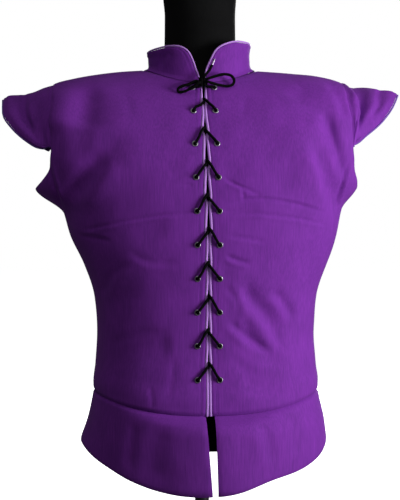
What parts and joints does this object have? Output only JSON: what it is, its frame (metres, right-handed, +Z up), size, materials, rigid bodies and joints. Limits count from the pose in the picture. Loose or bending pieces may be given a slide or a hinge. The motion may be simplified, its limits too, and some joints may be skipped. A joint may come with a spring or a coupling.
{
  "type": "laced gambeson on a dress form",
  "caption": "Sleeveless padded doublet with a laced front, stand collar, shoulder wings and short skirt, on a limbless dress form with a round base.",
  "frame": {"origin": "middle of the stand's underside, on the surface it stands on", "axes": "+X towards the wearer's left, -Y out of the laced front, +Z up"},
  "size_m": [0.6728, 0.34, 0.942],
  "materials": {
    "purple_cloth": "matte cotton twill",
    "lilac_piping": "satin cord cover",
    "black_lace": "woven cord",
    "nickel_eyelet": "nickel plate",
    "lace_tip": "bright rolled metal",
    "form_cover": "stretched jersey",
    "stand_metal": "satin black"
  },
  "bodies": {
    "root": {"front_left": "purple_cloth", "front_right": "purple_cloth", "back": "purple_cloth", "skirt_left": "purple_cloth", "skirt_right": "purple_cloth", "skirt_back": "purple_cloth", "collar": "purple_cloth", "wing_left": "purple_cloth", "wing_right": "purple_cloth", "piping_front_left": "lilac_piping", "piping_front_right": "lilac_piping", "piping_collar": "lilac_piping", "piping_wing_left": "lilac_piping", "piping_wing_right": "lilac_piping", "eyelet_left_1": "nickel_eyelet", "eyelet_left_2": "nickel_eyelet", "eyelet_left_3": "nickel_eyelet", "eyelet_left_4": "nickel_eyelet", "eyelet_left_5": "nickel_eyelet", "eyelet_left_6": "nickel_eyelet", "eyelet_left_7": "nickel_eyelet", "eyelet_left_8": "nickel_eyelet", "eyelet_left_9": "nickel_eyelet", "eyelet_left_10": "nickel_eyelet", "eyelet_right_1": "nickel_eyelet", "eyelet_right_2": "nickel_eyelet", "eyelet_right_3": "nickel_eyelet", "eyelet_right_4": "nickel_eyelet", "eyelet_right_5": "nickel_eyelet", "eyelet_right_6": "nickel_eyelet", "eyelet_right_7": "nickel_eyelet", "eyelet_right_8": "nickel_eyelet", "eyelet_right_9": "nickel_eyelet", "eyelet_right_10": "nickel_eyelet", "lace_a": "black_lace", "lace_b": "black_lace", "lace_knot": "black_lace", "bow_loop_left": "black_lace", "bow_loop_right": "black_lace", "lace_end_upper": "black_lace", "lace_end_lower": "black_lace", "aglet_upper": "lace_tip", "aglet_lower": "lace_tip", "form_torso": "form_cover", "form_pole": "stand_metal", "form_base": "stand_metal"}
  },
  "joints": []
}
